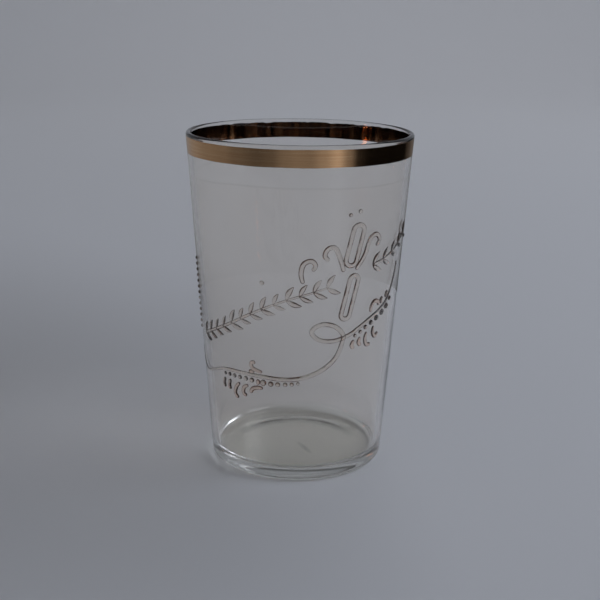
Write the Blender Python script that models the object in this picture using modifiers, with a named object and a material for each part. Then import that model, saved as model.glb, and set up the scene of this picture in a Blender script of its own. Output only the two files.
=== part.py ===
"""A small souvenir drinking glass: a thick-footed, tapered tumbler with a gilt band under its lip and
raised enamel brushwork on one side. The brushwork is a scroll garland with graded beads, and above it a
laurel branch with a lily fleuron.

Run it with: blender --background --python part.py
Frame: metres, +Z up, origin on the axis at the table, decorated side towards -Y.
"""

import math

import bmesh
import bpy
from mathutils import Matrix, Vector

MM = 0.001

# Driving dimensions of the tumbler, in millimetres.
HEIGHT = 71.8
RIM_RADIUS = 24.0  # outside of the lip
FOOT_RADIUS = 18.9  # where the straight outer wall would reach the table
LIP_WALL = 1.0
FOOT_WALL = 1.5
FLOOR_THICKNESS = 2.6
FLOOR_FILLET = 1.7  # inside corner between floor and wall
HEEL_RADIUS = 1.6
REST_RING_INNER = 14.6  # the shallow hollow under the foot starts here
HOLLOW_DEPTH = 0.5
HOLLOW_SIDE = (3.0, 0.8)  # the hollow's side runs this far in and reaches this share of its depth
SEGMENTS = 72
CORNER_STEPS = 4
LIP_STEPS = 6

# The gilt band.
BAND_TOP = 71.0
BAND_BOTTOM = 67.5
BAND_THICKNESS = 0.10

# The enamel brushwork. Its drawing is flat: u runs round the glass at DRAWING_RADIUS, v is height.
DRAWING_RADIUS = 21.0
SURFACE_GAP = 0.05  # clearance between a fired-on layer and the faceted glass
STROKE_WIDTH = 1.0
STROKE_HEIGHT = 0.38
STROKE_SPACING = 1.1  # between the points along a stroke
TUBE_RESOLUTION = 2
BEAD_HEIGHT = 0.45  # of a bead as wide as a stroke

WALL_SLOPE = (RIM_RADIUS - FOOT_RADIUS) / HEIGHT
WALL_TILT = math.atan(WALL_SLOPE)

COLLECTION = "souvenir_shot_glass"


# Scene, materials and small helpers

def clear_scene():
    for old in list(bpy.data.objects):
        bpy.data.objects.remove(old)


def new_collection(name):
    collection = bpy.data.collections.new(name)
    bpy.context.scene.collection.children.link(collection)
    return collection


def finish_material(name, color, roughness, metallic, transmission=0.0):
    material = bpy.data.materials.new(name)
    material.use_nodes = True
    shader = material.node_tree.nodes["Principled BSDF"]
    shader.inputs["Base Color"].default_value = (*color, 1.0)
    shader.inputs["Roughness"].default_value = roughness
    shader.inputs["Metallic"].default_value = metallic
    shader.inputs["Transmission Weight"].default_value = transmission
    return material


def clear_soda_glass():
    return finish_material("clear_soda_glass", (0.93, 0.94, 0.92), 0.04, 0.0, transmission=1.0)


def liquid_gold():
    return finish_material("liquid_gold", (0.72, 0.50, 0.36), 0.22, 1.0)


def raised_enamel():
    return finish_material("raised_enamel", (0.70, 0.63, 0.56), 0.30, 0.0)


def blush_enamel():
    return finish_material("blush_enamel", (0.60, 0.42, 0.34), 0.32, 0.0)


def place(name, mesh, material, collection):
    mesh.name = name
    mesh.materials.clear()
    mesh.materials.append(material)
    mesh.shade_smooth()
    mesh.set_sharp_from_angle(angle=math.radians(40))
    piece = bpy.data.objects.new(name, mesh)
    collection.objects.link(piece)
    return piece


# Turned pieces

def outer_radius(height):
    return FOOT_RADIUS + WALL_SLOPE * height


def inner_radius(height):
    wall = FOOT_WALL + (LIP_WALL - FOOT_WALL) * height / HEIGHT
    return outer_radius(height) - wall


def arc(center, radius, start, end, count):
    """Points on an arc, with angles in degrees from +X towards +Z."""
    angles = [math.radians(start + (end - start) * i / count) for i in range(count + 1)]
    return [(center[0] + radius * math.cos(a), center[1] + radius * math.sin(a)) for a in angles]


def tumbler_profile():
    """Half section from the middle of the floor up the inside, over the lip and down the outside."""
    tilt = math.degrees(WALL_TILT)
    lip_radius = LIP_WALL / 2
    lip_center = (RIM_RADIUS - lip_radius, HEIGHT - lip_radius)
    fillet_height = FLOOR_THICKNESS + FLOOR_FILLET
    fillet_center = (inner_radius(fillet_height) - FLOOR_FILLET, fillet_height)
    heel_center = (outer_radius(HEEL_RADIUS) - HEEL_RADIUS, HEEL_RADIUS)
    side_run, side_share = HOLLOW_SIDE
    profile = [(0.0, FLOOR_THICKNESS)]
    profile += arc(fillet_center, FLOOR_FILLET, -90, -tilt, CORNER_STEPS)
    profile += arc(lip_center, lip_radius, 180, 0, LIP_STEPS)
    profile += arc(heel_center, HEEL_RADIUS, -tilt, -90, CORNER_STEPS)
    profile += [(REST_RING_INNER, 0.0), (REST_RING_INNER - side_run, HOLLOW_DEPTH * side_share)]
    profile += [(0.0, HOLLOW_DEPTH)]
    return profile


def band_profile():
    """A thin closed strip that lies along the outer wall."""
    out = Vector((math.cos(WALL_TILT), -math.sin(WALL_TILT)))
    inner = SURFACE_GAP
    outer = SURFACE_GAP + BAND_THICKNESS
    top = Vector((outer_radius(BAND_TOP), BAND_TOP))
    bottom = Vector((outer_radius(BAND_BOTTOM), BAND_BOTTOM))
    corners = [top + out * inner, top + out * outer, bottom + out * outer, bottom + out * inner]
    return [tuple(corner) for corner in corners + corners[:1]]


def turned(name, profile, material, collection):
    mesh = bpy.data.meshes.new(name)
    points = [(x * MM, 0.0, z * MM) for x, z in profile]
    mesh.from_pydata(points, [(i, i + 1) for i in range(len(points) - 1)], [])
    piece = bpy.data.objects.new(name, mesh)
    collection.objects.link(piece)
    mesh.materials.append(material)
    screw = piece.modifiers.new("turn", "SCREW")
    screw.steps = SEGMENTS
    screw.render_steps = SEGMENTS
    screw.use_merge_vertices = True
    screw.merge_threshold = 0.00001
    screw.use_smooth_shade = True
    return piece


# Brushwork: drawn flat, then laid on the tapered wall

def on_wall(u, v, lift):
    """A drawing point, lifted off the wall by lift, as a place on the glass in metres."""
    angle = u / DRAWING_RADIUS
    radius = outer_radius(v) + (SURFACE_GAP + lift) * math.cos(WALL_TILT)
    height = v - (SURFACE_GAP + lift) * math.sin(WALL_TILT)
    return Vector((radius * math.sin(angle), -radius * math.cos(angle), height)) * MM


def lay_on_wall(mesh, width, ridge):
    """Flattens the underside of a round stroke, sets its ridge height and wraps it on the wall."""
    for vertex in mesh.vertices:
        u, v, lift = vertex.co / MM
        vertex.co = on_wall(u, v, max(lift, 0.0) * ridge / (width / 2))


def smooth_path(points, spacing=STROKE_SPACING):
    """A Catmull-Rom curve through the points, sampled about every spacing millimetres."""
    knots = [Vector(p) for p in points]
    ends = [2 * knots[0] - knots[1], *knots, 2 * knots[-1] - knots[-2]]
    path = []
    for a, b, c, d in zip(ends, ends[1:], ends[2:], ends[3:]):
        count = max(1, round((c - b).length / spacing))
        for i in range(count):
            t = i / count
            path.append(
                0.5 * (2 * b + (c - a) * t + (2 * a - 5 * b + 4 * c - d) * t**2
                       + (3 * b - a - 3 * c + d) * t**3)
            )
    return path + [knots[-1]]


def taper(count, tip, tail):
    """Width factors along a stroke: full in the middle, tip at its start and tail at its end."""
    factors = []
    for i in range(count):
        t = i / (count - 1)
        end = tip if t < 0.5 else tail
        factors.append(end + (1 - end) * math.sin(math.pi * t) ** 0.7)
    return factors


def tube_mesh(path, width, factors, closed=False):
    """A round tube mesh along a path in the drawing plane: a closed ring, or capped at both ends."""
    curve = bpy.data.curves.new("stroke", "CURVE")
    curve.dimensions = "3D"
    curve.twist_mode = "Z_UP"
    curve.fill_mode = "FULL"
    curve.use_fill_caps = not closed
    curve.bevel_depth = width / 2 * MM
    curve.bevel_resolution = TUBE_RESOLUTION
    spline = curve.splines.new("POLY")
    spline.points.add(len(path) - 1)
    spline.use_cyclic_u = closed
    for point, place_uv, factor in zip(spline.points, path, factors):
        point.co = (place_uv.x * MM, place_uv.y * MM, 0.0, 1.0)
        point.radius = factor
    guide = bpy.data.objects.new("stroke", curve)
    bpy.context.scene.collection.objects.link(guide)
    bpy.context.view_layer.update()
    mesh = bpy.data.meshes.new_from_object(guide.evaluated_get(bpy.context.evaluated_depsgraph_get()))
    bpy.data.objects.remove(guide)
    bpy.data.curves.remove(curve)
    return mesh


def round_stroke(path, width, tip, tail):
    """One brush stroke as a round tube, thinner towards its ends."""
    mesh = tube_mesh(path, width, taper(len(path), tip, tail))
    weld(mesh)
    return mesh


def weld(mesh):
    """Joins the loose caps of a tube to its sides."""
    shape = bmesh.new()
    shape.from_mesh(mesh)
    bmesh.ops.remove_doubles(shape, verts=shape.verts, dist=0.000002)
    shape.to_mesh(mesh)
    shape.free()


def fused(meshes):
    """One mesh from round strokes that run into each other."""
    scene = bpy.context.scene
    holders = [bpy.data.objects.new("stroke", mesh) for mesh in meshes]
    for holder in holders:
        scene.collection.objects.link(holder)
    for holder in holders[1:]:
        union = holders[0].modifiers.new("join", "BOOLEAN")
        union.operation = "UNION"
        union.object = holder
    bpy.context.view_layer.update()
    graph = bpy.context.evaluated_depsgraph_get()
    mesh = bpy.data.meshes.new_from_object(holders[0].evaluated_get(graph))
    for holder in holders:
        bpy.data.objects.remove(holder)
    return mesh


def enamel_stroke(name, points, material, collection, width=STROKE_WIDTH, tip=0.6, tail=0.6):
    mesh = round_stroke(smooth_path(points), width, tip, tail)
    lay_on_wall(mesh, width, STROKE_HEIGHT)
    return place(name, mesh, material, collection)


def enamel_bead(name, u, v, diameter, material, collection):
    shape = bmesh.new()
    bmesh.ops.create_uvsphere(shape, u_segments=10, v_segments=6, radius=diameter / 2 * MM)
    mesh = bpy.data.meshes.new(name)
    shape.to_mesh(mesh)
    shape.free()
    mesh.transform(Matrix.Translation((u * MM, v * MM, 0.0)))
    lay_on_wall(mesh, diameter, BEAD_HEIGHT * diameter / STROKE_WIDTH)
    return place(name, mesh, material, collection)


# The garland

STEM = [(-29.6, 25.6), (-28.2, 22.4), (-25.2, 21.2), (-21.0, 22.5), (-17.0, 23.7), (-12.0, 23.9),
        (-7.2, 23.8), (-3.6, 23.6), (0.0, 23.8), (3.4, 24.8), (6.4, 26.5), (8.3, 28.6), (9.2, 31.3)]
LOOP = [(9.3, 33.0), (8.3, 34.4), (6.8, 35.3), (5.0, 35.6), (3.4, 35.0), (2.8, 33.9), (3.7, 32.7),
        (5.3, 32.0), (7.7, 31.9)]
TAIL = [(10.7, 32.7), (13.0, 33.9), (15.6, 35.3), (18.6, 36.7), (21.0, 38.2), (22.6, 40.4),
        (23.8, 43.2), (24.5, 46.2)]

LEFT_BEADS = [(-17.2, 22.7, 0.8), (-15.8, 22.8, 0.9), (-14.4, 22.8, 1.0), (-12.9, 22.8, 1.0),
              (-11.4, 22.8, 1.1), (-9.9, 22.7, 1.1), (-7.3, 22.5, 1.4), (-5.6, 22.4, 1.2),
              (-4.1, 22.4, 1.1), (-2.5, 22.5, 1.0), (-1.1, 22.6, 0.9), (0.2, 22.8, 0.8)]
RIGHT_BEADS = [(12.3, 32.4, 0.8), (13.6, 33.0, 0.9), (14.9, 33.8, 1.0), (16.4, 34.5, 1.1),
               (18.0, 35.2, 1.3), (19.7, 36.1, 1.4), (21.2, 37.1, 1.3), (22.5, 38.5, 1.0)]
SIDE_BEADS = 13
SIDE_BEAD_START = (-28.7, 45.2)
SIDE_BEAD_END = (-29.5, 29.8)

LEFT_LEAVES = {
    "garland_left_curl": [(-7.4, 24.8), (-8.6, 25.0), (-9.7, 25.5), (-9.9, 26.5), (-8.9, 26.8)],
    "garland_left_leaf_1": [(-17.3, 21.7), (-17.8, 20.6), (-17.5, 19.4)],
    "garland_left_leaf_2": [(-15.6, 21.7), (-16.1, 20.5), (-15.8, 19.3)],
    "garland_left_leaf_3": [(-13.0, 21.5), (-14.0, 20.4), (-14.4, 18.9), (-13.5, 17.9)],
    "garland_left_leaf_4": [(-10.8, 21.4), (-11.9, 20.7), (-12.1, 19.4), (-11.2, 18.9)],
    "garland_left_leaf_5": [(-7.3, 21.2), (-8.6, 21.2), (-9.8, 20.7), (-10.3, 19.7)],
}
RIGHT_LEAVES = {
    "garland_right_curl": [(16.0, 36.8), (16.1, 38.0), (16.9, 39.0), (18.1, 38.7), (18.4, 37.8)],
    "garland_right_leaf_1": [(12.1, 31.5), (11.6, 30.4), (12.2, 29.5)],
    "garland_right_leaf_2": [(13.7, 31.9), (13.3, 30.8), (13.9, 29.9)],
    "garland_right_leaf_3": [(15.3, 32.7), (15.0, 31.3), (15.5, 29.9), (16.7, 29.7)],
    "garland_right_leaf_4": [(17.3, 33.6), (17.2, 32.2), (18.0, 31.2), (19.0, 31.9)],
}


def add_garland(collection, enamel, blush):
    enamel_stroke("garland_stem", STEM, enamel, collection, tip=0.5, tail=0.9)
    enamel_stroke("garland_loop", LOOP, blush, collection, tip=0.9, tail=0.8)
    enamel_stroke("garland_tail", TAIL, enamel, collection, tip=0.8, tail=0.5)
    for i, (u, v, diameter) in enumerate(LEFT_BEADS, 1):
        enamel_bead(f"left_bead_{i:02d}", u, v, diameter, enamel, collection)
    for i, (u, v, diameter) in enumerate(RIGHT_BEADS, 1):
        enamel_bead(f"right_bead_{i:02d}", u, v, diameter, enamel, collection)
    for i in range(SIDE_BEADS):
        t = i / (SIDE_BEADS - 1)
        u = SIDE_BEAD_START[0] + (SIDE_BEAD_END[0] - SIDE_BEAD_START[0]) * t
        v = SIDE_BEAD_START[1] + (SIDE_BEAD_END[1] - SIDE_BEAD_START[1]) * t
        enamel_bead(f"side_bead_{i + 1:02d}", u, v, 1.0, enamel, collection)
    for name, points in (LEFT_LEAVES | RIGHT_LEAVES).items():
        enamel_stroke(name, points, blush, collection, width=0.9, tip=0.55, tail=0.8)


# The laurel branch and its fleuron

LAUREL_STEM = [(-24.6, 29.8), (-19.5, 32.0), (-15.0, 34.2), (-10.0, 37.0), (-5.6, 39.3), (-1.6, 41.0),
               (2.2, 42.2), (5.6, 43.3)]
LAUREL_TIP_STEM = [(15.6, 47.0), (19.0, 47.8), (22.6, 49.2), (26.6, 51.4)]
LEAF_PITCH = 2.7
LEAF_LENGTH = 2.9
LEAF_WIDTH = 1.1
LEAF_ANGLE = 42  # degrees between a leaf and the stem
LEAF_BEND = 0.18  # how far a leaf bows out of line
LEAF_SPACING = 0.8  # between the points along a leaf
LAUREL_STEM_WIDTH = 0.7
LAUREL_STEM_SPACING = 1.6
BERRY = (-7.1, 44.1, 1.0)
CROWN_BEADS = [(9.6, 58.0, 0.8), (11.6, 58.6, 0.9)]

FLEURON = {
    "branch_tendril": [(0.9, 44.3), (0.5, 46.4), (1.0, 48.4), (2.4, 49.0), (3.2, 48.0), (2.6, 46.9)],
    "fleuron_left_curl": [(8.8, 46.4), (8.0, 49.0), (6.9, 51.4), (5.5, 51.4), (4.9, 50.0), (5.8, 48.9)],
    "fleuron_right_curl": [(11.4, 46.6), (13.2, 49.4), (14.3, 52.6), (15.8, 53.4), (16.8, 52.2), (16.0, 50.9)],
}
PETAL = {"center": (10.9, 51.7), "half_length": 4.2, "half_width": 1.15, "lean": 12}
STALK = {"center": (10.4, 40.9), "half_length": 4.6, "half_width": 0.95, "lean": 12}


def leaf_stations(stem_points, pitch):
    """Places along a stem, pitch apart, each with the stem's direction there."""
    path = smooth_path(stem_points, 0.25)
    stations, travelled, wanted = [], 0.0, pitch * 0.5
    for a, b in zip(path, path[1:]):
        travelled += (b - a).length
        if travelled >= wanted:
            stations.append((b, (b - a).normalized()))
            wanted += pitch
    return stations


def leaf_path(base, along, side):
    """A short curved leaf that leans forward from its stem, to the left (+1) or right (-1) of it."""
    turn = math.radians(LEAF_ANGLE) * side
    out = Vector((along.x * math.cos(turn) - along.y * math.sin(turn),
                  along.x * math.sin(turn) + along.y * math.cos(turn)))
    across = Vector((-out.y, out.x)) * side
    return [base, base + out * LEAF_LENGTH / 2 + across * LEAF_BEND, base + out * LEAF_LENGTH]


def laurel(name, stem_points, material, collection):
    stem = smooth_path(stem_points, LAUREL_STEM_SPACING)
    meshes = [round_stroke(stem, LAUREL_STEM_WIDTH, tip=0.6, tail=0.6)]
    for i, (base, along) in enumerate(leaf_stations(stem_points, LEAF_PITCH)):
        for side in (1, -1):
            path = smooth_path(leaf_path(base, along, side), LEAF_SPACING)
            meshes.append(round_stroke(path, LEAF_WIDTH, tip=0.35, tail=0.3))
    mesh = fused(meshes)
    lay_on_wall(mesh, STROKE_WIDTH, STROKE_HEIGHT)
    return place(name, mesh, material, collection)


def ring_path(center, half_length, half_width, lean, count=20):
    """A closed oval with round ends, leaning to the right by lean degrees."""
    reach = half_length - half_width
    points = []
    for i in range(count):
        angle = 2 * math.pi * i / count
        x = half_width * math.cos(angle)
        y = half_width * math.sin(angle) + math.copysign(reach, math.sin(angle))
        points.append((x, y))
    turn = math.radians(-lean)
    return [Vector((center[0] + x * math.cos(turn) - y * math.sin(turn),
                    center[1] + x * math.sin(turn) + y * math.cos(turn))) for x, y in points]


def enamel_ring(name, center, half_length, half_width, lean, material, collection):
    path = ring_path(center, half_length, half_width, lean)
    mesh = tube_mesh(path, STROKE_WIDTH, [1.0] * len(path), closed=True)
    lay_on_wall(mesh, STROKE_WIDTH, STROKE_HEIGHT)
    return place(name, mesh, material, collection)


def add_branch(collection, enamel):
    laurel("laurel_branch", LAUREL_STEM, enamel, collection)
    laurel("laurel_tip", LAUREL_TIP_STEM, enamel, collection)
    enamel_bead("laurel_berry", *BERRY, enamel, collection)
    for i, (u, v, diameter) in enumerate(CROWN_BEADS, 1):
        enamel_bead(f"crown_bead_{i}", u, v, diameter, enamel, collection)
    enamel_ring("fleuron_petal", **PETAL, material=enamel, collection=collection)
    enamel_ring("fleuron_stalk", **STALK, material=enamel, collection=collection)
    for name, points in FLEURON.items():
        enamel_stroke(name, points, enamel, collection, tip=0.9, tail=0.7)


def main():
    clear_scene()
    glass_collection = new_collection(COLLECTION)
    enamel = raised_enamel()
    turned("glass_tumbler", tumbler_profile(), clear_soda_glass(), glass_collection)
    turned("gilt_rim_band", band_profile(), liquid_gold(), glass_collection)
    add_garland(glass_collection, enamel, blush_enamel())
    add_branch(glass_collection, enamel)


main()
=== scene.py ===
# Souvenir shot glass: blown soda glass with a fired gold band and raised enamel brushwork.
import math

import bmesh
import bpy
from mathutils import Matrix, Vector, noise


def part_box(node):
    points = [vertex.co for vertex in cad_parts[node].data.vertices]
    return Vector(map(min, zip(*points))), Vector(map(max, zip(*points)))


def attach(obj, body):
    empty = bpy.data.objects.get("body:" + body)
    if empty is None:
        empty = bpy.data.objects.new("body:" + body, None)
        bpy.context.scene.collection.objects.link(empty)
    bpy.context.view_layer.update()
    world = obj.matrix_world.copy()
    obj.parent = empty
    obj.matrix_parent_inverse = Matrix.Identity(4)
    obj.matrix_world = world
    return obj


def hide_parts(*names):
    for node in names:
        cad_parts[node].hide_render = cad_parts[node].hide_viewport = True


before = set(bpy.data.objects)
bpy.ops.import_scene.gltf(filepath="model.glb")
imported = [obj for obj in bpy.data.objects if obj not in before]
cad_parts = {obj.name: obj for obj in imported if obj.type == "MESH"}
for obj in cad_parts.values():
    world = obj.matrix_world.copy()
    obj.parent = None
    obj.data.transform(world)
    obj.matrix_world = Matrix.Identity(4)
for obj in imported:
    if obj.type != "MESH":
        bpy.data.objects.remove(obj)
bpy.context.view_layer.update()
mm = 0.001
scene = bpy.context.scene
scene.view_settings.view_transform = "Standard"  # plain colours, no film look
bounces = 32  # light that runs back and forth inside the thick foot needs many turns to get out
for kind in ("max", "transmission", "glossy"):
    setattr(scene.cycles, kind + "_bounces", bounces)
scene.cycles.blur_glossy = 0.0  # so the paper under the foot is lit through clear glass

# The wall that everything is painted on: a straight taper from foot to lip.
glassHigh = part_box("glass_tumbler")[1]
wall = {
    "rimRadius": glassHigh.x / mm,
    "height": glassHigh.z / mm,
    "footRadius": 18.9,  # where the straight outside would reach the table
    "drawingRadius": 21.0,  # the brushwork is drawn flat, rolled out at this radius
}
wall["slope"] = (wall["rimRadius"] - wall["footRadius"]) / wall["height"]
wall["tilt"] = math.atan(wall["slope"])


# Helpers shared by the pieces

def hexColor(code):
    channels = [int(code[i:i + 2], 16) / 255 for i in (0, 2, 4)]
    linear = [c / 12.92 if c <= 0.04045 else ((c + 0.055) / 1.055) ** 2.4 for c in channels]
    return (*linear, 1.0)


def addNode(tree, kind, values=None, **settings):
    # values: input name or number -> constant, or an output socket to link from
    node = tree.nodes.new(kind)
    for name, value in settings.items():
        setattr(node, name, value)
    for key, value in (values or {}).items():
        if isinstance(value, bpy.types.NodeSocket):
            tree.links.new(value, node.inputs[key])
        else:
            node.inputs[key].default_value = value
    return node


def newMaterial(name):
    material = bpy.data.materials.new(name)
    material.use_nodes = True
    tree = material.node_tree
    return material, tree, tree.nodes["Principled BSDF"]


def setRamp(node, stops):
    # stops: (place, hex colour) from left to right
    ramp = node.color_ramp
    while len(ramp.elements) > 1:
        ramp.elements.remove(ramp.elements[-1])
    for i, (place, code) in enumerate(stops):
        element = ramp.elements[0] if i == 0 else ramp.elements.new(place)
        element.position = place
        element.color = hexColor(code)


def outerRadius(height):
    return wall["footRadius"] + wall["slope"] * height


def arcPoints(center, radius, start, end, count):
    # angles in degrees from +X towards +Z
    angles = [math.radians(start + (end - start) * i / count) for i in range(count + 1)]
    return [(center[0] + radius * math.cos(a), center[1] + radius * math.sin(a)) for a in angles]


def linePoints(start, end, count):
    return [(start[0] + (end[0] - start[0]) * i / count,
             start[1] + (end[1] - start[1]) * i / count) for i in range(1, count)]


def linkPiece(name, mesh):
    piece = bpy.data.objects.new(name, mesh)
    scene.collection.objects.link(piece)
    return piece


def nodesNamed(start):
    return sorted(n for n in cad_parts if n.startswith(start))


# Camera

cameraSetup = {
    "place": (0.0, -226.2, 98.8),  # mm
    "pitchDown": 15.8,  # degrees
    "turnRight": 0.11,
    "roll": 0.76,
    "lens": 64.2,
}


def makeCamera():
    camera = bpy.data.objects.new("camera", bpy.data.cameras.new("camera"))
    scene.collection.objects.link(camera)
    camera.data.lens = cameraSetup["lens"]
    camera.data.sensor_width = 36.0
    camera.data.clip_start = 0.01
    camera.data.clip_end = 20.0
    camera.location = Vector(cameraSetup["place"]) * mm
    turn = math.radians(-cameraSetup["turnRight"])
    pitch = math.radians(90.0 - cameraSetup["pitchDown"])
    look = (Matrix.Rotation(turn, 4, "Z") @ Matrix.Rotation(pitch, 4, "X")
            @ Matrix.Rotation(math.radians(cameraSetup["roll"]), 4, "Z"))
    camera.rotation_euler = look.to_euler()
    scene.camera = camera


makeCamera()
print("camera ready")


# Materials

def makeSodaGlass():
    # Blown soda-lime glass, a century of washing: clear, with a faint bloom below an old water
    # line, smears that soften the shine, a greenish thick foot and one scuff on the floor.
    material, tree, shader = newMaterial("blownSodaGlass")
    place = addNode(tree, "ShaderNodeTexCoord").outputs["Object"]
    height = addNode(tree, "ShaderNodeSeparateXYZ", {0: place}).outputs["Z"]
    drift = addNode(tree, "ShaderNodeTexNoise", {"Vector": place, "Scale": 25.0})
    level = addNode(tree, "ShaderNodeMath", {0: drift.outputs["Fac"], 1: 0.003, 2: height},
                    operation="MULTIPLY_ADD")  # the water line wanders by a millimetre
    bloom = addNode(tree, "ShaderNodeMapRange", {"Value": level.outputs[0], "From Min": 0.0643,
                    "From Max": 0.0651, "To Min": 1.0, "To Max": 0.35}, interpolation_type="SMOOTHSTEP")
    smear = addNode(tree, "ShaderNodeTexNoise", {"Vector": place, "Scale": 90.0, "Detail": 5.0,
                    "Roughness": 0.6, "Distortion": 0.4})  # blotches about 11 mm across
    patch = addNode(tree, "ShaderNodeMath", {0: bloom.outputs[0], 1: smear.outputs["Fac"]},
                    operation="MULTIPLY")
    tone = addNode(tree, "ShaderNodeValToRGB", {0: patch.outputs[0]})
    setRamp(tone, [(0.15, "fffdfa"), (0.55, "fffcf8"), (0.75, "fdfaf6")])
    foot = addNode(tree, "ShaderNodeMapRange", {"Value": height, "From Min": 0.0022, "From Max": 0.0042,
                   "To Min": 1.0, "To Max": 0.0})
    green = addNode(tree, "ShaderNodeMix", {0: foot.outputs[0], 6: tone.outputs["Color"],
                    7: hexColor("f3f3ec")}, data_type="RGBA")
    fromLine = addNode(tree, "ShaderNodeMath", {0: level.outputs[0], 1: -0.0647}, operation="ADD")
    off = addNode(tree, "ShaderNodeMath", {0: fromLine.outputs[0]}, operation="ABSOLUTE")
    tide = addNode(tree, "ShaderNodeMapRange", {"Value": off.outputs[0], "From Min": 0.0001,
                   "From Max": 0.0003, "To Min": 0.22, "To Max": 0.0})
    lined = addNode(tree, "ShaderNodeMix", {0: tide.outputs[0], 6: green.outputs[2],
                    7: hexColor("e6e2da")}, data_type="RGBA")
    scuff = addNode(tree, "ShaderNodeMapping", {"Vector": place, "Location": (0.0018, -0.0062, 0.0027),
                    "Rotation": (0, 0, math.radians(26)), "Scale": (0.0009, 0.0042, 0.0008)},
                    vector_type="TEXTURE")
    away = addNode(tree, "ShaderNodeVectorMath", {0: scuff.outputs[0]}, operation="LENGTH")
    mark = addNode(tree, "ShaderNodeMapRange", {"Value": away.outputs["Value"], "From Min": 0.2,
                   "From Max": 1.0, "To Min": 0.65, "To Max": 0.0})
    color = addNode(tree, "ShaderNodeMix", {0: mark.outputs[0], 6: lined.outputs[2],
                    7: hexColor("8a8886")}, data_type="RGBA")
    tree.links.new(color.outputs[2], shader.inputs["Base Color"])
    dull = addNode(tree, "ShaderNodeMapRange", {"Value": patch.outputs[0], "From Min": 0.2, "From Max": 0.8,
                   "To Min": 0.008, "To Max": 0.06})
    rubbed = addNode(tree, "ShaderNodeMath", {0: foot.outputs[0], 1: 0.02, 2: dull.outputs[0]},
                     operation="MULTIPLY_ADD")  # the foot is scuffed by tables
    tree.links.new(rubbed.outputs[0], shader.inputs["Roughness"])
    shader.inputs["IOR"].default_value = 1.5
    shader.inputs["Transmission Weight"].default_value = 1.0
    return material


def makeLiquidGold():
    # Liquid bright gold: brushed on and fired, so it mirrors softly along the turn of the brush.
    # The streaks are drawn 0.25 mm apart, coarser than real brush hairs, so that they show.
    material, tree, shader = newMaterial("firedLiquidGold")
    rolled = addNode(tree, "ShaderNodeUVMap", uv_map="rolledOut").outputs["UV"]
    stretched = addNode(tree, "ShaderNodeMapping", {"Vector": rolled, "Scale": (0.05, 4.0, 1.0)})
    streaks = addNode(tree, "ShaderNodeTexNoise", {"Vector": stretched.outputs[0], "Scale": 1.0,
                      "Detail": 3.0, "Roughness": 0.55})
    tone = addNode(tree, "ShaderNodeValToRGB", {0: streaks.outputs["Fac"]})
    setRamp(tone, [(0.3, "d8a67c"), (0.5, "e6ba8f"), (0.7, "f0cba4")])
    tree.links.new(tone.outputs["Color"], shader.inputs["Base Color"])
    sheen = addNode(tree, "ShaderNodeMapRange", {"Value": streaks.outputs["Fac"], "From Min": 0.3,
                    "From Max": 0.7, "To Min": 0.07, "To Max": 0.15})
    tree.links.new(sheen.outputs[0], shader.inputs["Roughness"])
    ripple = addNode(tree, "ShaderNodeBump", {"Height": streaks.outputs["Fac"], "Strength": 0.12,
                     "Distance": 0.00002})
    tree.links.new(ripple.outputs["Normal"], shader.inputs["Normal"])
    shader.inputs["Metallic"].default_value = 1.0
    return material


def makeGoldUnderside():
    # The same gold seen through the glass: its flux layer turns it to a dark red-brown mirror.
    material, tree, shader = newMaterial("goldUnderside")
    rolled = addNode(tree, "ShaderNodeUVMap", uv_map="rolledOut").outputs["UV"]
    stretched = addNode(tree, "ShaderNodeMapping", {"Vector": rolled, "Scale": (0.9, 0.08, 1.0)})
    clouds = addNode(tree, "ShaderNodeTexNoise", {"Vector": stretched.outputs[0], "Scale": 1.0,
                     "Detail": 4.0})
    tone = addNode(tree, "ShaderNodeValToRGB", {0: clouds.outputs["Fac"]})
    setRamp(tone, [(0.36, "24160e"), (0.5, "5e3d28"), (0.66, "a87c58")])
    tree.links.new(tone.outputs["Color"], shader.inputs["Base Color"])
    shader.inputs["Metallic"].default_value = 1.0
    shader.inputs["Roughness"].default_value = 0.1
    return material


def makeEnamel(name, crownCode, middleCode, footLineAndShadeCode):
    # Raised relief enamel: a glassy, milky ridge. Its steep flanks are coloured as thin dark lines: partly
    # gold and grime that stay along its feet, partly painted shade for the dark rims of a clear ridge, broken
    # where they have washed out. The crown is worn clear.
    material, tree, shader = newMaterial(name)
    crown = addNode(tree, "ShaderNodeAttribute", attribute_name="crown").outputs["Fac"]
    place = addNode(tree, "ShaderNodeTexCoord").outputs["Object"]
    wear = addNode(tree, "ShaderNodeTexNoise", {"Vector": place, "Scale": 700.0, "Detail": 3.0})
    edge = addNode(tree, "ShaderNodeMath", {0: wear.outputs["Fac"], 1: 0.35, 2: crown},
                   operation="MULTIPLY_ADD")  # wear moves the line in and out
    tone = addNode(tree, "ShaderNodeValToRGB", {0: edge.outputs[0]})
    # the dark foot colour on the steep flanks is partly real gold and grime, partly painted shade of the
    # ridge's rims
    setRamp(tone, [(0.0, footLineAndShadeCode), (0.84, footLineAndShadeCode), (0.97, middleCode), (1.0, crownCode)])
    washed = addNode(tree, "ShaderNodeTexNoise", {"Vector": place, "Scale": 260.0, "Detail": 2.0})
    gone = addNode(tree, "ShaderNodeMapRange", {"Value": washed.outputs["Fac"], "From Min": 0.44,
                   "From Max": 0.6, "To Max": 0.85})
    color = addNode(tree, "ShaderNodeMix", {0: gone.outputs[0], 6: tone.outputs["Color"],
                    7: hexColor(crownCode)}, data_type="RGBA")
    tree.links.new(color.outputs[2], shader.inputs["Base Color"])
    shader.inputs["Roughness"].default_value = 0.15
    shader.inputs["IOR"].default_value = 1.5
    shader.inputs["Transmission Weight"].default_value = 0.94
    return material


sodaGlass = makeSodaGlass()
liquidGold = makeLiquidGold()
goldUnderside = makeGoldUnderside()
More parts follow.
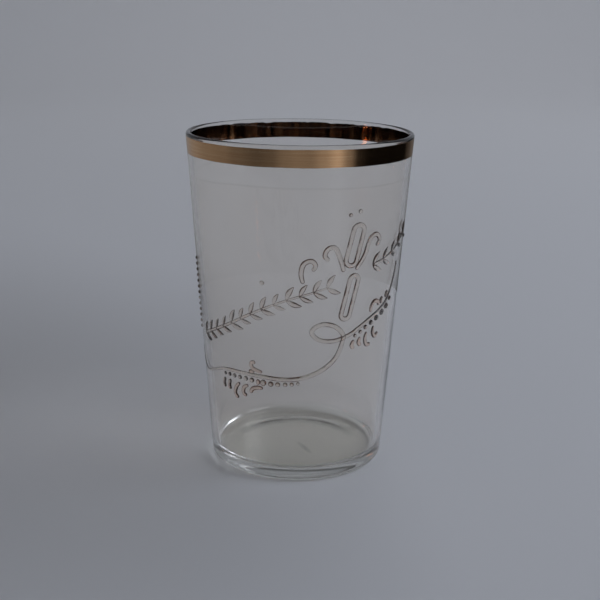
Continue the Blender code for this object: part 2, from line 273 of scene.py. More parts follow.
# the last colour of each is the dark foot line, partly painted shade
clearEnamel = makeEnamel("reliefEnamel", "fffaf5", "b08c78", "5e4032")
blushEnamel = makeEnamel("blushReliefEnamel", "fff0e6", "b07c62", "6a3828")
print("materials ready")


# The tumbler

tumbler = {
    "lipWall": 1.0,
    "footWall": 1.5,
    "floor": 2.6,
    "floorRise": 0.15,  # the floor's middle stands a little higher
    "fillet": 1.7,
    "heel": 1.6,
    "restInner": 14.6,
    "hollow": 0.5,
    "around": 256,
    "waver": 0.035,  # how far the blown inner wall wanders
    "steadyRadius": 12.0,  # nearer the axis than this the wander dies away
    "steadyLip": 2.0,  # none this close to the lip, and full 8 mm below that
    "steadyFade": 8.0,
    "waveLength": 22.0,  # of the wander up the wall
    "wavesRound": 1.3,
    "seed": 3.0,
}


def innerRadius(height):
    thick = tumbler["footWall"] + (tumbler["lipWall"] - tumbler["footWall"]) * height / wall["height"]
    return outerRadius(height) - thick


def tumblerProfile():
    tilt = math.degrees(wall["tilt"])
    t = tumbler
    lip = t["lipWall"] / 2
    lipHeight = wall["height"] - lip
    lipCenter = (outerRadius(lipHeight) - lip / math.cos(wall["tilt"]), lipHeight)
    filletHeight = t["floor"] + t["fillet"]
    filletCenter = (innerRadius(filletHeight) - t["fillet"], filletHeight)
    heelCenter = (outerRadius(t["heel"]) - t["heel"] / math.cos(wall["tilt"]), t["heel"])
    fillet = arcPoints(filletCenter, t["fillet"], -90, -tilt, 12)
    lipArc = arcPoints(lipCenter, lip, 180, -tilt, 20)
    heelArc = arcPoints(heelCenter, t["heel"], -tilt, -90, 12)
    floorEdge = fillet[0][0]
    floor = [(floorEdge * i / 12, t["floor"] + t["floorRise"] * (1 - (i / 12) ** 2)) for i in range(1, 12)]
    hollow = [(t["restInner"] * i / 8, t["hollow"] * (1 - (i / 8) ** 4)) for i in range(8, 0, -1)]
    profile = floor + fillet + linePoints(fillet[-1], lipArc[0], 48) + lipArc
    profile += linePoints(lipArc[-1], heelArc[0], 48) + heelArc
    profile += linePoints(heelArc[-1], hollow[0], 3) + hollow
    return profile, (t["floor"] + t["floorRise"]), t["hollow"], len(floor) + len(fillet) + 47


def waver(angle, height, seed):
    # slow wander of a blown wall: a few waves round the glass and along its height
    t = tumbler
    spot = Vector((math.cos(angle) * t["wavesRound"], math.sin(angle) * t["wavesRound"],
                   height / t["waveLength"] + seed))
    return noise.noise(spot)


def makeTumbler():
    profile, top, bottom, innerCount = tumblerProfile()
    around = tumbler["around"]
    verts, faces = [], []
    for i, (radius, height) in enumerate(profile):
        for k in range(around):
            angle = 2 * math.pi * k / around
            grow = 0.0
            if i < innerCount:
                belowLip = wall["height"] - tumbler["steadyLip"] - height
                fade = min(1.0, radius / tumbler["steadyRadius"])
                fade *= min(1.0, max(0.0, belowLip / tumbler["steadyFade"]))
                grow = tumbler["waver"] * fade * waver(angle, height, tumbler["seed"])
            verts.append(((radius + grow) * math.sin(angle) * mm,
                          -(radius + grow) * math.cos(angle) * mm, height * mm))
    for i in range(len(profile) - 1):
        for k in range(around):
            a, b = i * around + k, i * around + (k + 1) % around
            faces.append((a, a + around, b + around, b))
    floorMiddle, footMiddle = len(verts), len(verts) + 1
    verts += [(0, 0, top * mm), (0, 0, bottom * mm)]
    last = (len(profile) - 1) * around
    for k in range(around):
        faces.append((k, (k + 1) % around, floorMiddle))
        faces.append((last + k, footMiddle, last + (k + 1) % around))
    mesh = bpy.data.meshes.new("tumbler")
    mesh.from_pydata(verts, [], faces)
    mesh.materials.append(sodaGlass)
    mesh.shade_smooth()
    piece = linkPiece("blownTumbler", mesh)
    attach(piece, "root")
    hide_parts("glass_tumbler")


makeTumbler()
print("tumbler ready")


# The gold band

band = {
    "top": 71.0,
    "bottom": 67.5,
    "proud": 0.03,  # how far the gold stands off the glass
    "sunk": 0.02,  # its underside lies this far inside the glass surface
    "around": 720,
    "rows": 10,
    "ragged": 0.07,  # wander of the hand-banded edges
    "worn": 0.3,  # deepest nick where the drinking edge has rubbed the gold away
    "wornFrom": 105,  # degrees from the front, both ways: only the far side is nicked
    "wornFade": 25,
    "nicksRound": 9,
    "smallNicksRound": 34,
    "sharpAngle": 50,
    "thinEdge": 0.25,  # the gold thins to this share at its two edges
    "highSeed": 11.0,
    "lowSeed": 17.0,
    "nickSeed": 41.0,
    "smallNickSeed": 43.0,
}


def wornAway(angle):
    # short nicks in the band's upper edge, on the side away from the painting
    b = band
    back = abs((angle + math.pi) % (2 * math.pi) - math.pi) - math.radians(b["wornFrom"])
    fade = min(1.0, max(0.0, back / math.radians(b["wornFade"])))
    large, fine = (noise.noise(Vector((math.cos(angle) * b[count], math.sin(angle) * b[count], b[seed])))
                   for count, seed in (("nicksRound", "nickSeed"), ("smallNicksRound", "smallNickSeed")))
    return b["worn"] * fade * (1.3 * max(0.0, large - 0.08) + 0.45 * max(0.0, fine))


def makeBand():
    b = band
    around, rows = b["around"], b["rows"]
    outX, outZ = math.cos(wall["tilt"]), -math.sin(wall["tilt"])
    verts = []
    for side in (b["proud"], -b["sunk"]):
        for row in range(rows + 1):
            for k in range(around):
                angle = 2 * math.pi * k / around
                high = b["top"] + b["ragged"] * waver(angle * 3, 0.0, b["highSeed"]) - wornAway(angle)
                low = b["bottom"] + b["ragged"] * waver(angle * 3, 0.0, b["lowSeed"])
                height = low + (high - low) * row / rows
                lift = side
                if side > 0:
                    lift *= min(1.0, b["thinEdge"] + min(row, rows - row) / rows * 6)
                radius = outerRadius(height) + lift * outX
                verts.append((radius * math.sin(angle) * mm, -radius * math.cos(angle) * mm,
                              (height + lift * outZ) * mm))
    layer = (rows + 1) * around
    faces, inside = [], []
    for row in range(rows):
        for k in range(around):
            here, onward = row * around + k, row * around + (k + 1) % around
            faces.append((here, onward, onward + around, here + around))
            inside.append(0)
            c, d = layer + here, layer + onward
            faces.append((d, c, c + around, d + around))
            inside.append(1)
    top = rows * around
    for k in range(around):
        for here, onward in ((top + k, top + (k + 1) % around), ((k + 1) % around, k)):
            faces.append((here, onward, layer + onward, layer + here))
            inside.append(0)
    mesh = bpy.data.meshes.new("band")
    mesh.from_pydata(verts, [], faces)
    rolled = mesh.uv_layers.new(name="rolledOut")
    for polygon in mesh.polygons:
        angles = []
        for loop in polygon.loop_indices:
            corner = mesh.vertices[mesh.loops[loop].vertex_index].co
            angles.append(math.atan2(corner.x, -corner.y))
        wraps = max(angles) - min(angles) > math.pi
        for loop, angle in zip(polygon.loop_indices, angles):
            if wraps and angle < 0:
                angle += 2 * math.pi
            z = mesh.vertices[mesh.loops[loop].vertex_index].co.z
            rolled.data[loop].uv = (angle * wall["rimRadius"], z / mm)  # millimetres
    mesh.materials.append(liquidGold)
    mesh.materials.append(goldUnderside)
    mesh.polygons.foreach_set("material_index", inside)
    mesh.shade_smooth()
    mesh.set_sharp_from_angle(angle=math.radians(b["sharpAngle"]))
    piece = linkPiece("goldBand", mesh)
    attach(piece, "root")
    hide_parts("gilt_rim_band")


makeBand()
print("gold band ready")


# Geometry Nodes for the brushwork: drawn flat, domed, then rolled onto the wall

brush = {
    "width": 1.05,
    "ridge": 0.34,
    "sunk": 0.03,
    "profile": 20,  # points round a stroke
    "beadRidge": 0.42,  # of a bead one millimetre wide
    "weld": 0.0005,
    "pathStep": 0.16,  # between the points along a stroke
    "leastGirth": 0.04,
}


def newTree(name, sizes):
    # sizes: named inputs with their values in metres or plain numbers
    tree = bpy.data.node_groups.new(name, "GeometryNodeTree")
    tree.is_modifier = True
    tree.interface.new_socket("Geometry", in_out="INPUT", socket_type="NodeSocketGeometry")
    tree.interface.new_socket("Geometry", in_out="OUTPUT", socket_type="NodeSocketGeometry")
    for socketName, value in sizes.items():
        kind = "NodeSocketInt" if isinstance(value, int) else "NodeSocketFloat"
        tree.interface.new_socket(socketName, in_out="INPUT", socket_type=kind).default_value = value
    tree.interface.new_socket("Enamel", in_out="INPUT", socket_type="NodeSocketMaterial")
    return tree, addNode(tree, "NodeGroupInput").outputs


def rollOntoWall(tree, given, geometry):
    # a drawing point (u round the glass, v up, w off the glass) goes to its place on the wall
    normal = addNode(tree, "ShaderNodeSeparateXYZ", {0: addNode(tree, "GeometryNodeInputNormal").outputs[0]})
    crown = addNode(tree, "ShaderNodeMath", {0: normal.outputs["Z"]}, operation="ABSOLUTE")
    marked = addNode(tree, "GeometryNodeStoreNamedAttribute",
                     {"Geometry": geometry, "Name": "crown", "Value": crown.outputs[0]},
                     data_type="FLOAT", domain="POINT")
    flat = addNode(tree, "ShaderNodeSeparateXYZ", {0: addNode(tree, "GeometryNodeInputPosition").outputs[0]})
    above = addNode(tree, "ShaderNodeMath", {0: flat.outputs["Z"], 1: 0.0}, operation="MAXIMUM")
    domed = addNode(tree, "ShaderNodeMath", {0: above.outputs[0], 1: given["Ridge Ratio"],
                    2: -brush["sunk"] * mm}, operation="MULTIPLY_ADD")
    angle = addNode(tree, "ShaderNodeMath", {0: flat.outputs["X"], 1: given["Drawing Radius"]},
                    operation="DIVIDE")
    foot = addNode(tree, "ShaderNodeMath", {0: flat.outputs["Y"], 1: given["Wall Slope"],
                   2: given["Foot Radius"]}, operation="MULTIPLY_ADD")
    radius = addNode(tree, "ShaderNodeMath", {0: domed.outputs[0], 1: math.cos(wall["tilt"]),
                     2: foot.outputs[0]}, operation="MULTIPLY_ADD")
    height = addNode(tree, "ShaderNodeMath", {0: domed.outputs[0], 1: -math.sin(wall["tilt"]),
                     2: flat.outputs["Y"]}, operation="MULTIPLY_ADD")
    sine = addNode(tree, "ShaderNodeMath", {0: angle.outputs[0]}, operation="SINE")
    cosine = addNode(tree, "ShaderNodeMath", {0: angle.outputs[0]}, operation="COSINE")
    across = addNode(tree, "ShaderNodeMath", {0: radius.outputs[0], 1: sine.outputs[0]}, operation="MULTIPLY")
    back = addNode(tree, "ShaderNodeMath", {0: radius.outputs[0], 1: cosine.outputs[0]}, operation="MULTIPLY")
    front = addNode(tree, "ShaderNodeMath", {0: back.outputs[0], 1: -1.0}, operation="MULTIPLY")
    place = addNode(tree, "ShaderNodeCombineXYZ", {"X": across.outputs[0], "Y": front.outputs[0],
                    "Z": height.outputs[0]})
    rolled = addNode(tree, "GeometryNodeSetPosition", {"Geometry": marked.outputs[0],
                     "Position": place.outputs[0]})
    smooth = addNode(tree, "GeometryNodeSetShadeSmooth", {0: rolled.outputs[0], "Shade Smooth": True})
    return addNode(tree, "GeometryNodeSetMaterial", {0: smooth.outputs[0], "Material": given["Enamel"]})


def wallSizes(width, ridge):
    return {"Stroke Width": width * mm, "Ridge Ratio": ridge / (width / 2),
            "Drawing Radius": wall["drawingRadius"] * mm, "Foot Radius": wall["footRadius"] * mm,
            "Wall Slope": wall["slope"]}


def roundProfile(tree, given):
    half = addNode(tree, "ShaderNodeMath", {0: given["Stroke Width"], 1: 0.5}, operation="MULTIPLY")
    return addNode(tree, "GeometryNodeCurvePrimitiveCircle",
                   {"Resolution": brush["profile"], "Radius": half.outputs[0]}).outputs[0]


def strokeTree(width, ridge):
    # every polyline that comes in becomes one loaded brush stroke, as wide as its girth says
    tree, given = newTree("brushStrokes", wallSizes(width, ridge))
    girth = addNode(tree, "GeometryNodeInputNamedAttribute", {"Name": "girth"}, data_type="FLOAT")
    lines = addNode(tree, "GeometryNodeMeshToCurve", {0: given["Geometry"]})
    level = addNode(tree, "GeometryNodeSetCurveNormal", {0: lines.outputs[0]}, mode="Z_UP")
    tubes = addNode(tree, "GeometryNodeCurveToMesh", {0: level.outputs[0], 1: roundProfile(tree, given),
                    "Scale": girth.outputs["Attribute"], "Fill Caps": True})
    laid = rollOntoWall(tree, given, tubes.outputs[0])
    addNode(tree, "NodeGroupOutput", {0: laid.outputs[0]})
    return tree


def beadTree(ridge):
    # a drop of enamel at each point, as wide as the point's girth
    tree, given = newTree("enamelBeads", wallSizes(1.0, ridge))
    girth = addNode(tree, "GeometryNodeInputNamedAttribute", {"Name": "girth"}, data_type="FLOAT")
    half = addNode(tree, "ShaderNodeMath", {0: girth.outputs["Attribute"], 1: 0.5}, operation="MULTIPLY")
    drop = addNode(tree, "GeometryNodeMeshUVSphere", {"Segments": 24, "Rings": 14, "Radius": 1.0})
    drops = addNode(tree, "GeometryNodeInstanceOnPoints", {0: given["Geometry"], "Instance": drop.outputs[0],
                    "Scale": half.outputs[0]})
    real = addNode(tree, "GeometryNodeRealizeInstances", {0: drops.outputs[0]})
    laid = rollOntoWall(tree, given, real.outputs[0])
    addNode(tree, "NodeGroupOutput", {0: laid.outputs[0]})
    return tree


laurel = {
    "pitch": 2.7,
    "leafLength": 3.0,
    "leafAngle": 42,
    "seed": 7,
    "leafBelly": [(0.25, 0.8), (0.5, 1.0), (0.8, 0.62)],  # along the leaf: share of the stroke's width
    "leafStalk": 0.3,
    "leafTip": 0.12,
}


def laurelTree(width, ridge):
    # a stem with leaves set along it in pairs, each pair a pitch on from the last
    sizes = wallSizes(width, ridge) | {
        "Leaf Pitch": laurel["pitch"] * mm,
        "Leaf Length": laurel["leafLength"] * mm,
        "Leaf Angle": math.radians(laurel["leafAngle"]),
        "Leaf Seed": laurel["seed"],
    }
    tree, given = newTree("laurelBranch", sizes)
    lines = addNode(tree, "GeometryNodeMeshToCurve", {0: given["Geometry"]})
    stem = addNode(tree, "GeometryNodeSetCurveNormal", {0: lines.outputs[0]}, mode="Z_UP")
    along = addNode(tree, "GeometryNodeSplineParameter").outputs["Factor"]
    thin = addNode(tree, "ShaderNodeMapRange", {"Value": along, "To Min": 0.75, "To Max": 0.4})
    stemTube = addNode(tree, "GeometryNodeCurveToMesh", {0: stem.outputs[0], 1: roundProfile(tree, given),
                       "Scale": thin.outputs[0], "Fill Caps": True})
    length = given["Leaf Length"]
    middle = addNode(tree, "ShaderNodeMath", {0: length, 1: 0.55}, operation="MULTIPLY")
    bend = addNode(tree, "ShaderNodeMath", {0: length, 1: 0.16}, operation="MULTIPLY")
    leaves = [stemTube.outputs[0]]
    stations = addNode(tree, "GeometryNodeResampleCurve", {0: stem.outputs[0], "Length": given["Leaf Pitch"]},
                       mode="LENGTH")
    tangent = addNode(tree, "GeometryNodeInputTangent").outputs[0]
    aligned = addNode(tree, "FunctionNodeAlignRotationToVector", {"Vector": tangent}, axis="X")
    for side in (1, -1):
        sway = addNode(tree, "ShaderNodeMath", {0: bend.outputs[0], 1: side}, operation="MULTIPLY")
        via = addNode(tree, "ShaderNodeCombineXYZ", {"X": middle.outputs[0], "Y": sway.outputs[0]})
        tip = addNode(tree, "ShaderNodeCombineXYZ", {"X": length})
        rib = addNode(tree, "GeometryNodeCurveQuadraticBezier", {"Resolution": 14, "Start": (0, 0, 0),
                      "Middle": via.outputs[0], "End": tip.outputs[0]})
        belly = addNode(tree, "ShaderNodeFloatCurve", {"Value": along})
        shape = belly.mapping.curves[0]
        shape.points[0].location = (0.0, laurel["leafStalk"])
        shape.points[1].location = (1.0, laurel["leafTip"])
        for place in laurel["leafBelly"]:
            shape.points.new(*place)
        belly.mapping.update()
        leaf = addNode(tree, "GeometryNodeCurveToMesh", {0: addNode(tree, "GeometryNodeSetCurveNormal",
                       {0: rib.outputs[0]}, mode="Z_UP").outputs[0], 1: roundProfile(tree, given),
                       "Scale": belly.outputs[0], "Fill Caps": True})
        turn = addNode(tree, "ShaderNodeMath", {0: given["Leaf Angle"], 1: side}, operation="MULTIPLY")
        lean = addNode(tree, "ShaderNodeCombineXYZ", {"Z": turn.outputs[0]})
        turned = addNode(tree, "FunctionNodeRotateRotation", {"Rotation": aligned.outputs[0],
                         "Rotate By": lean.outputs[0]}, rotation_space="LOCAL")
        sizeVary = addNode(tree, "FunctionNodeRandomValue", {2: 0.85, 3: 1.08, "Seed": given["Leaf Seed"]},
                           data_type="FLOAT")
        placed = addNode(tree, "GeometryNodeInstanceOnPoints", {0: stations.outputs[0],
                         "Instance": leaf.outputs[0], "Rotation": turned.outputs[0],
                         "Scale": sizeVary.outputs[1]})
        leaves.append(addNode(tree, "GeometryNodeRealizeInstances", {0: placed.outputs[0]}).outputs[0])
    joined = addNode(tree, "GeometryNodeJoinGeometry")
    for part in leaves:
        tree.links.new(part, joined.inputs[0])
    laid = rollOntoWall(tree, given, joined.outputs[0])
    addNode(tree, "NodeGroupOutput", {0: laid.outputs[0]})
    return tree


def smoothPath(points):
    # a Catmull-Rom line through the points
    knots = [Vector(p) for p in points]
    ends = [2 * knots[0] - knots[1], *knots, 2 * knots[-1] - knots[-2]]
    path = []
    for a, b, c, d in zip(ends, ends[1:], ends[2:], ends[3:]):
        count = max(2, round((c - b).length / brush["pathStep"]))
        for i in range(count):
            t = i / count
            path.append(0.5 * (2 * b + (c - a) * t + (2 * a - 5 * b + 4 * c - d) * t**2
                               + (3 * b - a - 3 * c + d) * t**3))
    return path + [knots[-1]]


def roundEnds(count, spacing, half, tip, tail):
    # girth along a stroke: tip and tail are its thickness near each end, closed off round
    girths = []
    length = (count - 1) * spacing
    for i in range(count):
        t = i / (count - 1)
        belly = (tip if t < 0.5 else tail)
        girth = belly + (1 - belly) * math.sin(math.pi * t) ** 0.7
        toEnd = min(i, count - 1 - i) * spacing
        reach = half * girth
        if toEnd < reach:
            girth *= math.sqrt(max(0.0, 1 - ((reach - toEnd) / reach) ** 2))
        girths.append(max(girth, brush["leastGirth"]))
    return girths


def drawnLines(name, strokes, width):
    # strokes: (points, tip, tail) in drawing millimetres, or (points, None, None) for a closed ring
    verts, edges, girths = [], [], []
    for points, tip, tail in strokes:
        first = len(verts)
        path = points if tip is None else smoothPath(points)
        spacing = sum((b - a).length for a, b in zip(path, path[1:])) / (len(path) - 1)
        girths += [1.0] * len(path) if tip is None else roundEnds(len(path), spacing, width / 2, tip, tail)
        verts += [(p[0] * mm, p[1] * mm, 0.0) for p in path]
        edges += [(first + i, first + i + 1) for i in range(len(path) - 1)]
        if tip is None:
            edges.append((len(verts) - 1, first))
    mesh = bpy.data.meshes.new(name)
    mesh.from_pydata(verts, edges, [])
    mesh.attributes.new("girth", "FLOAT", "POINT").data.foreach_set("value", girths)
    return mesh


def growPiece(name, drawing, tree, material, replaced):
    # runs the tree on the drawing and keeps the plain mesh that comes out
    host = linkPiece(name + "Drawing", drawing)
    nodes = host.modifiers.new("grow", "NODES")
    nodes.node_group = tree
    for item in tree.interface.items_tree:
        if item.item_type == "SOCKET" and item.in_out == "INPUT" and item.name == "Enamel":
            nodes[item.identifier] = material
    graph = bpy.context.evaluated_depsgraph_get()
    mesh = bpy.data.meshes.new_from_object(host.evaluated_get(graph))
    bpy.data.objects.remove(host)
    shape = bmesh.new()
    shape.from_mesh(mesh)
    bmesh.ops.remove_doubles(shape, verts=shape.verts, dist=brush["weld"] * mm)
    bmesh.ops.recalc_face_normals(shape, faces=shape.faces)
    shape.to_mesh(mesh)
    shape.free()
    piece = linkPiece(name, mesh)
    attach(piece, "root")
    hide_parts(*replaced)


strokes = strokeTree(brush["width"], brush["ridge"])
beads = beadTree(brush["beadRidge"])
laurelNodes = laurelTree(brush["width"], brush["ridge"])


# The garland

garland = {
    "stem": [(-29.6, 25.6), (-28.2, 22.4), (-25.2, 21.2), (-21.0, 22.5), (-17.0, 23.7), (-12.0, 23.9),
             (-7.2, 23.8), (-3.6, 23.6), (0.0, 23.8), (3.4, 24.8), (6.4, 26.5), (8.3, 28.6), (9.3, 31.3),
             (9.4, 33.0), (8.3, 34.4), (6.8, 35.3), (5.0, 35.6), (3.4, 35.0), (2.8, 33.9), (3.7, 32.7),
             (5.3, 32.0), (7.7, 31.9), (10.7, 32.7), (13.0, 33.9), (15.6, 35.3), (18.6, 36.7), (21.0, 38.2),
             (22.6, 40.4), (23.8, 43.2), (24.5, 46.2)],
    "leaves": [
        [(-7.4, 24.8), (-8.6, 25.0), (-9.7, 25.5), (-9.9, 26.5), (-8.9, 26.8)],
        [(-17.3, 21.7), (-17.8, 20.6), (-17.5, 19.4)],
        [(-15.6, 21.7), (-16.1, 20.5), (-15.8, 19.3)],
        [(-13.0, 21.5), (-14.0, 20.4), (-14.4, 18.9), (-13.5, 17.9)],
        [(-10.8, 21.4), (-11.9, 20.7), (-12.1, 19.4), (-11.2, 18.9)],
        [(-7.3, 21.2), (-8.6, 21.2), (-9.8, 20.7), (-10.3, 19.7)],
        [(16.0, 36.8), (16.1, 38.0), (16.9, 39.0), (18.1, 38.7), (18.4, 37.8)],
        [(12.1, 31.5), (11.6, 30.4), (12.2, 29.5)],
        [(13.7, 31.9), (13.3, 30.8), (13.9, 29.9)],
        [(15.3, 32.7), (15.0, 31.3), (15.5, 29.9), (16.7, 29.7)],
        [(17.3, 33.6), (17.2, 32.2), (18.0, 31.2), (19.0, 31.9)],
        [(-8.6, 23.1), (-8.4, 22.5), (-8.7, 21.9)],
        [(-10.6, 24.7), (-9.9, 24.6), (-9.2, 24.6)],
        [(19.4, 38.0), (19.1, 38.9), (19.6, 39.5)],
        [(20.8, 39.0), (20.9, 39.9), (21.5, 40.3)],
    ],
    "leafWidth": 0.95,
    "leafRidge": 0.32,
    "sideBeadShrink": 0.8,  # the beads at the side are smaller drops
}


def beadSpots(names, shrink=1.0):
    # each drop goes where its CAD bead is
    verts, girths = [], []
    for name in names:
        low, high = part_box(name)
        middle = (low + high) / 2
        angle = math.atan2(middle.x, -middle.y)
        verts.append((angle * wall["drawingRadius"] * mm, middle.z, 0.0))
        girths.append((high.z - low.z) * shrink)
    mesh = bpy.data.meshes.new("beadSpots")
    mesh.from_pydata(verts, [], [])
    mesh.attributes.new("girth", "FLOAT", "POINT").data.foreach_set("value", girths)
    return mesh


def makeGarland():
    lines = drawnLines("garlandStem", [(garland["stem"], 0.2, 0.5)], brush["width"])
    growPiece("garlandScroll", lines, strokes, clearEnamel,
              ["garland_stem", "garland_loop", "garland_tail"])
    leafTree = strokeTree(garland["leafWidth"], garland["leafRidge"])
    lines = drawnLines("garlandLeaves", [(path, 0.6, 0.85) for path in garland["leaves"]],
                       garland["leafWidth"])
    growPiece("garlandLeaves", lines, leafTree, blushEnamel,
              nodesNamed("garland_left_") + nodesNamed("garland_right_"))
    for side in ("left", "right", "side"):
        drops = nodesNamed(side + "_bead_")
        spots = beadSpots(drops, garland["sideBeadShrink"] if side == "side" else 1.0)
        growPiece(side + "Beads", spots, beads, clearEnamel, drops)


makeGarland()
print("garland ready")


# The laurel branch and its fleuron

branch = {
    "stem": [(-24.6, 29.8), (-19.5, 32.0), (-15.0, 34.2), (-10.0, 37.0), (-5.6, 39.3), (-1.6, 41.0),
             (2.2, 42.2), (5.6, 43.3)],
    "tip": [(15.6, 47.0), (19.0, 47.8), (22.6, 49.2), (26.6, 51.4)],
    "tendril": [(0.9, 44.3), (0.5, 46.4), (1.0, 48.4), (2.4, 49.0), (3.2, 48.0), (2.6, 46.9)],
    "leftCurl": [(8.8, 46.4), (8.0, 49.0), (6.9, 51.4), (5.5, 51.4), (4.9, 50.0), (5.8, 48.9)],
    "rightCurl": [(11.4, 46.6), (13.2, 49.4), (14.3, 52.6), (15.8, 53.4), (16.8, 52.2), (16.0, 50.9)],
    "petal": {"center": (10.9, 51.7), "halfLength": 4.2, "halfWidth": 1.15, "lean": 12},
    "stalk": {"center": (10.4, 40.9), "halfLength": 4.6, "halfWidth": 0.95, "lean": 12},
}


def ovalPath(center, halfLength, halfWidth, lean, count=72):
    # a long closed ring with round ends, leaning right
    turn = math.radians(-lean)
    path = []
    for i in range(count):
        angle = 2 * math.pi * i / count
        x = halfWidth * math.cos(angle)
        y = halfWidth * math.sin(angle) + math.copysign(halfLength - halfWidth, math.sin(angle))
        path.append(Vector((center[0] + x * math.cos(turn) - y * math.sin(turn),
                            center[1] + x * math.sin(turn) + y * math.cos(turn))))
    return path


def makeBranch():
    for name, points, node in (("laurelBranch", branch["stem"], "laurel_branch"),
                               ("laurelTip", branch["tip"], "laurel_tip")):
        lines = drawnLines(name, [(points, 0.7, 0.5)], brush["width"])
        growPiece(name, lines, laurelNodes, clearEnamel, [node])
    curls = [(branch["tendril"], 0.7, 0.7), (branch["leftCurl"], 0.8, 0.8), (branch["rightCurl"], 0.8, 0.8)]
    rings = [(ovalPath(**branch[key]), None, None) for key in ("petal", "stalk")]
    growPiece("lilyFleuron", drawnLines("fleuron", curls + rings, brush["width"]), strokes, clearEnamel,
              ["branch_tendril"] + nodesNamed("fleuron_"))
    dots = nodesNamed("crown_bead") + ["laurel_berry"]
    growPiece("branchBerries", beadSpots(dots), beads, clearEnamel, dots)


makeBranch()
print("branch ready")


# The studio: a pale paper sweep, a soft window-like key on the right, a fill for the paper behind, and
# a ring and a screen that only reflections see, which give the gold and the glass something to mirror.

studio = {
    "flat": 0.9,  # metres of level paper round the glass
    "rise": 0.7,
    "high": 1.3,
    "flatInner": 0.4,
    "middle": 0.00001,  # the sheet's middle is closed but for a pinhole
    "sink": 0.00003,  # the paper lies a hair below the foot, so the two surfaces stay apart
    "paper": "d6d6d7",
    "roomColor": "ccd0d6",
    "roomStrength": 0.2,
    "ringInner": 0.13,
    "ringOuter": 0.88,
    "ringLift": 0.002,
    # azimuth in degrees, 0 in front and 90 to the right: brightness that reflections see there
    "ringGlow": [(-180, 0.22), (-128, 0.26), (-103, 0.21), (-78, 0.18), (-65, 0.135), (-40, 0.09),
                 (-27, 0.11), (-14, 0.19), (-2, 0.22), (10, 0.21), (23, 0.32), (37, 0.52), (48, 0.22),
                 (58, 0.02), (72, 0.004), (126, 0.004), (137, 0.05), (150, 0.11), (172, 0.19), (180, 0.22)],
    # corners of the card, in metres
    "flag": [(0.09, -0.10, 0.115), (0.09, 0.05, 0.115), (0.09, 0.05, 0.4), (0.09, -0.10, 0.4)],
    "flagColor": "0a0a0a",
    "glowColor": "f1f3f6",
    "lampsAim": (0.0, 0.0, 0.03),
    "fillAim": (0.1, 0.75, 0.0),
    "screenRadius": 1.0,
    "screenLow": 0.03,
    "screenHigh": 0.34,
    "screenGlow": [(-70, 0.03), (-45, 0.008), (-28, 0.035), (-20, 0.006), (-8, 0.03), (0, 0.004), (12, 0.02),
                   (30, 0.004), (46, 0.03), (70, 0.03)],
}
lamps = {
    # azimuth, elevation, distance (m), width and height (m), watts, colour
    "keySoftbox": (78, 42, 1.35, 0.9, 0.9, 6.9, "e7efff"),
    "backSoftbox": (174, 48, 1.34, 0.7, 0.7, 2.3, "f6f8ff"),
    "roomLamp": (-78, 5, 0.9, 0.1, 0.08, 0.14, "ffa468"),
}


def fromMiddle(azimuth, elevation, distance):
    # azimuth 0 is in front, 90 to the right
    a, e = math.radians(azimuth), math.radians(elevation)
    return Vector((math.sin(a) * math.cos(e), -math.cos(a) * math.cos(e), math.sin(e))) * distance


def turnedSheet(name, profile, count):
    # an open surface of revolution, facing up and in
    verts = [(r * math.sin(2 * math.pi * k / count), r * math.cos(2 * math.pi * k / count), z)
             for r, z in profile for k in range(count)]
    faces = []
    for low in range(0, (len(profile) - 1) * count, count):
        for k in range(count):
            onward = (k + 1) % count
            faces.append((low + k, low + count + k, low + count + onward, low + onward))
    mesh = bpy.data.meshes.new(name)
    mesh.from_pydata(verts, [], faces)
    mesh.shade_smooth()
    return mesh


def makeSweep():
    s = studio
    rise = arcPoints((s["flat"], s["rise"] - s["sink"]), s["rise"], -90, 0, 16)
    profile = [(s["middle"], -s["sink"]), (s["flatInner"], -s["sink"])] + rise
    profile.append((s["flat"] + s["rise"], s["high"]))
    mesh = turnedSheet("sweep", profile, 96)
    material, _, shader = newMaterial("paperSweep")
    shader.inputs["Base Color"].default_value = hexColor(s["paper"])
    shader.inputs["Roughness"].default_value = 0.9
    shader.inputs["Specular IOR Level"].default_value = 0.0  # dead matt
    mesh.materials.append(material)
    linkPiece("paperSweep", mesh)


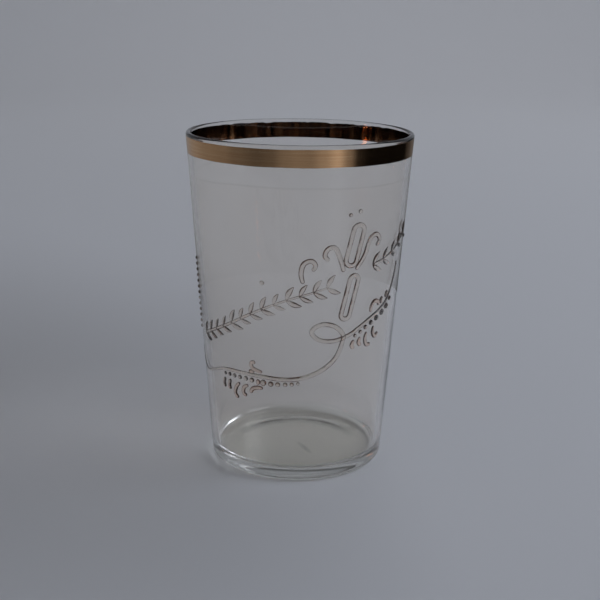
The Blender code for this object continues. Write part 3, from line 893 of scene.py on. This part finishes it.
def glowSheet(name, profile, stops, turns=360):
    # an open sheet that only reflections and refractions see, as bright as the stops say
    mesh = turnedSheet(name, profile, turns)
    glow = mesh.attributes.new("glow", "FLOAT", "POINT")
    unlit = set()
    for vertex in mesh.vertices:
        azimuth = math.degrees(math.atan2(vertex.co.x, -vertex.co.y))
        if not stops[0][0] <= azimuth <= stops[-1][0]:
            unlit.add(vertex.index)
        for (a, low), (b, high) in zip(stops, stops[1:]):
            if a <= azimuth <= b:
                t = (azimuth - a) / (b - a)
                t = t * t * (3 - 2 * t)
                glow.data[vertex.index].value = low + (high - low) * t
    shape = bmesh.new()
    shape.from_mesh(mesh)
    shape.verts.ensure_lookup_table()
    bmesh.ops.delete(shape, geom=[shape.verts[i] for i in unlit], context="VERTS")
    shape.to_mesh(mesh)
    shape.free()
    material = bpy.data.materials.new(name)
    material.use_nodes = True
    tree = material.node_tree
    tree.nodes.clear()
    value = addNode(tree, "ShaderNodeAttribute", attribute_name="glow").outputs["Fac"]
    light = addNode(tree, "ShaderNodeEmission", {"Color": hexColor(studio["glowColor"]), "Strength": value})
    addNode(tree, "ShaderNodeOutputMaterial", {"Surface": light.outputs[0]})
    mesh.materials.append(material)
    sheet = linkPiece(name, mesh)
    for rays in ("camera", "diffuse", "volume_scatter", "shadow"):
        setattr(sheet, "visible_" + rays, False)
    return sheet


def makeReflectors():
    s = studio
    ring = glowSheet("reflectionRing", [(s["ringInner"], s["ringLift"]), (s["ringOuter"], s["ringLift"])],
                     s["ringGlow"])
    ring.visible_transmission = False
    glowSheet("darkScreen", [(s["screenRadius"], s["screenLow"]), (s["screenRadius"], s["screenHigh"])],
              s["screenGlow"])


def makeFlag():
    # a black card outside the picture that keeps part of the key off the paper on the left
    mesh = bpy.data.meshes.new("flag")
    mesh.from_pydata(studio["flag"], [], [(0, 1, 2, 3)])
    material, _, shader = newMaterial("blackCard")
    shader.inputs["Base Color"].default_value = hexColor(studio["flagColor"])
    mesh.materials.append(material)
    card = linkPiece("flagCard", mesh)
    for rays in ("camera", "glossy", "transmission"):
        setattr(card, "visible_" + rays, False)


def makeLights():
    for name, (azimuth, elevation, distance, width, height, power, color) in lamps.items():
        light = bpy.data.lights.new(name, "AREA")
        light.shape = "ELLIPSE"
        light.size = width
        light.size_y = height
        light.energy = power
        light.color = hexColor(color)[:3]
        lamp = bpy.data.objects.new(name, light)
        scene.collection.objects.link(lamp)
        lamp.location = fromMiddle(azimuth, elevation, distance)
        if name == "backSoftbox":
            # a fill for the paper alone: no streaks on the glass and no shadow in front of it
            light.use_shadow = False
            lamp.visible_glossy = False
            lamp.visible_transmission = False
        if name == "keySoftbox":
            lamp.visible_glossy = False  # its mirror image on the wall would be too sharp
        aim = Vector(studio["fillAim" if name == "backSoftbox" else "lampsAim"])
        lamp.rotation_euler = (aim - lamp.location).to_track_quat("-Z", "Y").to_euler()
    world = bpy.data.worlds.new("softRoom")
    world.use_nodes = True
    room = world.node_tree.nodes["Background"].inputs
    room["Color"].default_value = hexColor(studio["roomColor"])
    room["Strength"].default_value = studio["roomStrength"]
    scene.world = world


makeSweep()
makeReflectors()
makeFlag()
makeLights()
print("studio ready")
